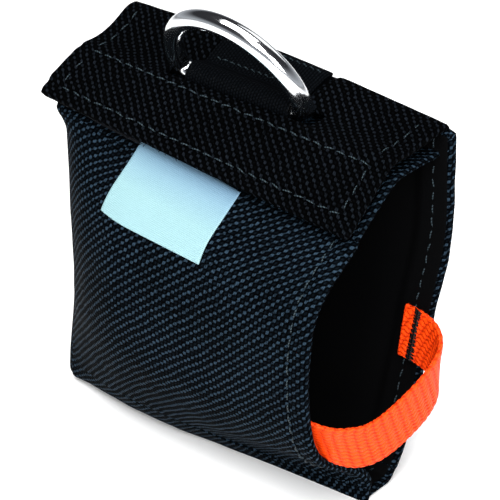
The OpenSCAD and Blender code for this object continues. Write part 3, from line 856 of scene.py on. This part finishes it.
bulk = (strap_t / 2 - 0.18) * (1 - 0.25 * np.abs(wide) ** 8)
half_span = wide * (strap_w / 2 - 0.45 + scallop)
strap_front = (middle[:, None] + up[:, None] * half_span[..., None]
               + face_out[:, None] * (bulk + 0.2 * knit)[..., None])
strap_back = (middle[:, None] + up[:, None] * half_span[..., None]
              - face_out[:, None] * (bulk + 0.2 * knit)[..., None])
strap = closed_sheet("retaining_strap_webbing", strap_front, strap_back, bulge=0.7)


def strap_weave(name, crown, gap):
    """Orange webbing: floats in columns across the strap that lean one way and then the other,
    paler and smoother on their crowns, with fine filaments along each float. A faint orange
    emission makes the whole strap glow: painted light."""
    # painted light: a faint orange emission makes the strap glow although no lamp is there
    finish, tree, shader = new_finish(name, Specular_IOR_Level=0.1, Emission_Strength=0.2,
                                      Emission_Color=(1, 0.03, 0.0, 1))
    plane, u, v = cloth_plane(tree)
    step = calc(tree, "DIVIDE", v, column)
    bow = calc(tree, "SINE", calc(tree, "MULTIPLY", step, 2 * np.pi))
    ribs = calc(tree, "ADD", calc(tree, "DIVIDE", u, pick), calc(tree, "MULTIPLY", bow, 0.2))
    crest = ridges(tree, ribs)
    swell = ridges(tree, step)
    full_swell = calc(tree, "MULTIPLY", calc(tree, "POWER", swell, 0.6), 0.55)
    height = calc(tree, "MULTIPLY_ADD", crest, 0.45, full_swell)
    hair = noise(tree, plane, 2.4, 3).outputs["Fac"]
    share = calc(tree, "MULTIPLY", height, calc(tree, "ADD", hair, 0.55))
    tree.links.new(blend_colour(tree, share, gap, crown), shader.inputs["Base Color"])
    tree.links.new(calc(tree, "MULTIPLY_ADD", share, -0.15, 0.6), shader.inputs["Roughness"])
    relief(tree, shader, calc(tree, "ADD", height, calc(tree, "MULTIPLY", hair, 0.5)), 0.35)
    return finish


glowing_orange_web = strap_weave("orange_webbing", (0.82, 0.062, 0.004), (0.22, 0.001, 0.0))
strap.data.materials.append(glowing_orange_web)
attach(strap, "pouch")
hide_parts("retaining_strap")

# ----------
# Label: a bare patch of woven satin, its top edge sewn in under the flap's edge.
# ----------
label_x, label_w, label_run = -1.5, 30.0, 19.0
near = face(np.array([0.0, 0.0]), np.array([11.0, 12.0]))
label_share = label_run / np.linalg.norm(near[1] - near[0])
v, u = np.meshgrid(np.linspace(0, 1, 50), np.linspace(0, 1, 70), indexing="ij")
v = 12.0 + 0.26 * (1 - u) - (0.06 + label_share + 0.08 * (1 - u)) * v
u = label_x + label_w * (u - 0.5) - 0.8 * (1 - u)
label_out = outward(u, v)
label_lift = 0.35 + 0.12 * ripple(u, v * 19, 16, 61)
label_low = face(u, v) + label_out * label_lift[..., None]
label_grid = label_low + label_out * 0.3
label = closed_sheet("label_patch", label_grid, label_low, bulge=0.6, rings=3)
satin, satin_tree, satin_shader = new_finish("label_satin", Specular_IOR_Level=0.3)
satin_plane, satin_u, satin_v = cloth_plane(satin_tree)
ribs = ridges(satin_tree, satin_v, np.pi / 0.42)
threads = ridges(satin_tree, satin_u, np.pi / 0.3)
satin_height = calc(satin_tree, "MULTIPLY_ADD", threads, 0.3, ribs)
# Painted shade: the label's colour turns a darker blue towards its top edge, under the flap.
flap_shade_share = calc(satin_tree, "MULTIPLY_ADD", satin_v, -0.09, 0.1)
satin_painted_shade = blend_colour(satin_tree, ribs, (0.11, 0.2, 0.3), (0.135, 0.24, 0.34))
satin_pale = blend_colour(satin_tree, ribs, (0.19, 0.33, 0.35), (0.23, 0.375, 0.4))
satin_colour = blend_colour(satin_tree, flap_shade_share, satin_pale, satin_painted_shade)
satin_tree.links.new(satin_colour, satin_shader.inputs["Base Color"])
dull = noise(satin_tree, satin_plane, 0.2, 2).outputs["Fac"]
satin_tree.links.new(calc(satin_tree, "MULTIPLY_ADD", dull, 0.2, 0.3), satin_shader.inputs["Roughness"])
relief(satin_tree, satin_shader, satin_height, 0.06)
label.data.materials.append(satin)
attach(label, "pouch")
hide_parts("label")

# ----------
# Sewing: every seam is locked with bonded nylon thread in stitches about 3 mm long that sink into
# the cloth at their ends, and both strap ends are held by dense bartacks.
# ----------


def stitches(name, lines, pitch=3.3, length=2.5, thick=0.38, seed=1):
    """Sewn rows. Each stitch follows its part of a line of points with normals, its six-sided section
    thinning to the ends, raised by 0.3 thickness in the middle and sunk by its end."""
    rng = np.random.default_rng(seed)
    shape = np.linspace(-1, 1, 6)
    points, normals = [], []
    for path, out in lines:
        run = np.concatenate([[0], np.cumsum(np.linalg.norm(np.diff(path, axis=0), axis=1))])
        count = max(1, int(run[-1] / pitch))
        centre = (np.arange(count) + 0.5) * run[-1] / count
        where = centre[:, None] + shape * length / 2
        points.append(np.stack([np.interp(where, run, path[:, k]) for k in range(3)], -1))
        normals.append(np.stack([np.interp(where, run, out[:, k]) for k in range(3)], -1))
    spine, out = np.concatenate(points), unit(np.concatenate(normals))
    count = len(spine)
    flow = unit(np.gradient(spine, axis=1))
    side = unit(np.cross(flow, out))
    skew = rng.uniform(-0.3, 0.3, (count, 1, 1)) * shape[:, None]
    lift = thick * (0.42 - 0.75 * shape**2)
    spine = spine + side * skew + out * lift[:, None]
    radius = thick / 2 * np.sqrt(1 - 0.8 * shape**2)
    corner = np.arange(6) * np.pi / 3
    ring = spine[:, :, None] + radius[:, None, None] * (side[:, :, None] * np.cos(corner)[:, None]
                                                       + out[:, :, None] * np.sin(corner)[:, None])
    at = np.arange(count * 36).reshape(count, 6, 6)
    beside = np.roll(at, -1, axis=2)
    faces = np.stack([at[:, :-1], beside[:, :-1], beside[:, 1:], at[:, 1:]], -1).reshape(-1, 4)
    halves = (0, [5, 2, 1, 0]), (0, [5, 4, 3, 2]), (5, [0, 1, 2, 5]), (5, [2, 3, 4, 5])
    caps = [at[:, end][:, corners] for end, corners in halves]
    faces = np.concatenate([faces, *caps])
    turn_uv = np.stack(np.broadcast_arrays(corner * thick / 2, (shape * length / 2)[:, None]), -1)
    flat_uv = np.broadcast_to(turn_uv, (count, 6, 6, 2)).reshape(-1, 2)
    piece = make_mesh(name, ring.reshape(-1, 3), faces, flat_uv[faces].reshape(-1, 2))
    return piece


def thread_finish(name, crown, gap):
    """Bonded thread: three plies twisted together, seen as slanting grooves round each stitch."""
    finish, tree, shader = new_finish(name, Roughness=0.5, Specular_IOR_Level=0.15)
    plane, u, v = cloth_plane(tree)
    twist = calc(tree, "SINE", calc(tree, "MULTIPLY_ADD", u, 7.0, calc(tree, "MULTIPLY", v, 9.0)))
    share = calc(tree, "MULTIPLY_ADD", twist, 0.5, 0.5)
    tree.links.new(blend_colour(tree, share, gap, crown), shader.inputs["Base Color"])
    relief(tree, shader, share, 0.08)
    return finish


black_thread = thread_finish("black_thread", (0.003, 0.0035, 0.004), (0.0005, 0.0005, 0.0005))
grey_thread = thread_finish("grey_black_thread", (0.026, 0.043, 0.053), (0.003, 0.005, 0.006))


def band_line(s0, s1, x_of, out=0.0):
    """Line round the band from station s0 to s1 at x_of its edges, with the normals there."""
    s = np.linspace(s0, s1, 160)
    x = x_of(station(s))
    return face(x, s) + outward(x, s) * out, outward(x, s)


def sew(name, body, *nodes, lines, thread=grey_thread, **how):
    """One group of stitches: its mesh, its thread, the body it rides on, or "fold" where it is left
    unattached like the flap's cloth, and the nodes it stands for."""
    piece = stitches(name, lines, **how)
    piece.data.materials.append(thread)
    if body == "fold":
        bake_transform(piece)
    else:
        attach(piece, body)
    if nodes:
        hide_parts(*nodes)
    return piece


def at_right(p):
    """Stitch line beside the band's right edge, from its station rows."""
    return p[..., 5] - stitch_in


def at_left(p):
    """Stitch line beside the band's left edge."""
    return p[..., 4] + stitch_in


def inside(line):
    """The same line on the hem's inner face."""
    path, out = line
    return path - out * (panel_t + hem_t), -out


front_line = band_line(7.1, 11.9, at_right)
sew("front_edge_stitches", "pouch", "front_edge_stitching", lines=[front_line, inside(front_line)], seed=2)
back_line = band_line(0.08, 4.5, at_right)
back_left = band_line(0.08, 4.4, at_left)
left_inside = (back_left[0] - back_left[1] * panel_t, -back_left[1])
sew("back_edge_stitches", "pouch", "back_edge_stitching",
    lines=[back_line, inside(back_line), back_left, left_inside], seed=3)
bottom_line = band_line(4.75, 6.85, at_right)
sew("bottom_edge_stitches", "pouch", "bottom_edge_stitching", lines=[inside(bottom_line)], seed=4)
tongue_lines = [band_line(12.1, 14.9, at_right), band_line(12.1, 14.9, at_left)]
sew("tongue_stitches", "pouch", "tongue_stitching", lines=tongue_lines, seed=5)
wall_line = band_line(7.2, 11.5, lambda p: p[..., 4] + 2.2)
wall_hidden = (wall_line[0] - wall_line[1] * panel_t, -wall_line[1])
sew("side_wall_stitches", "pouch", "side_wall_stitching", lines=[wall_hidden], seed=6)

x_line = np.linspace(stitch_in - half_w, half_w - stitch_in, 200)
end = flap_arc[-1]
rows = [flap_skin(x_line, end - row_at(x_line, row)) for row in (0, 1)]
sew("flap_front_stitches", "flap", "flap_stitching", lines=rows, seed=7)
sides = []
for side in (-1, 1):
    for first, last in ((6.0, end - 19.0), (end - 14.4, end - 4.4)):
        run_arc = np.linspace(first, last, 60)
        sides.append(flap_skin(np.full_like(run_arc, side * (half_w - stitch_in)), run_arc))
sew("flap_side_stitches", "fold", "flap_side_stitching", lines=sides, thick=0.3, seed=8)

keeper_rows = []
for y_row in (ring_y + keeper_r + 2, tail_y - 1.5):
    path = drawn_across(np.array([[y_row, top_z + 2 * keeper_t]]), np.linspace(-13, 13, 80))[0]
    keeper_rows.append((path, np.tile([0, 0, 1.0], (80, 1))))
sew("keeper_stitches", "fold", "keeper_stitching", lines=keeper_rows, pitch=2.0, length=1.6, thick=0.3,
    seed=9)


def bartack(middle_s, reach, inset, width, rows=26):
    """Zigzag lines of thread packed across the strap's end, on the strap's inner face."""
    s = np.linspace(middle_s - reach, middle_s + reach, rows)
    lines = []
    for a, b in zip(s[:-1], s[1:]):
        t = np.array([a, b])
        x = station(t)[..., 5] - inset + np.array([-1, 1]) * width / 2
        out = outward(x, t)
        lines.append((face(x, t) + out * (lap_out - strap_t / 2 - 0.2), -out))
    return lines


sew("strap_front_bartack_thread", "pouch", "strap_front_bartack",
    lines=bartack(s_strap_front, 6.3 / 17, 4.5, 2.4), pitch=9, length=2.4, thick=0.5, seed=12,
    thread=black_thread)
sew("strap_back_bartack_thread", "pouch", "strap_back_bartack",
    lines=bartack(s_strap_back, 6.3 / 18, 2.0, 2.4), pitch=9, length=2.4, thick=0.5, seed=13,
    thread=black_thread)
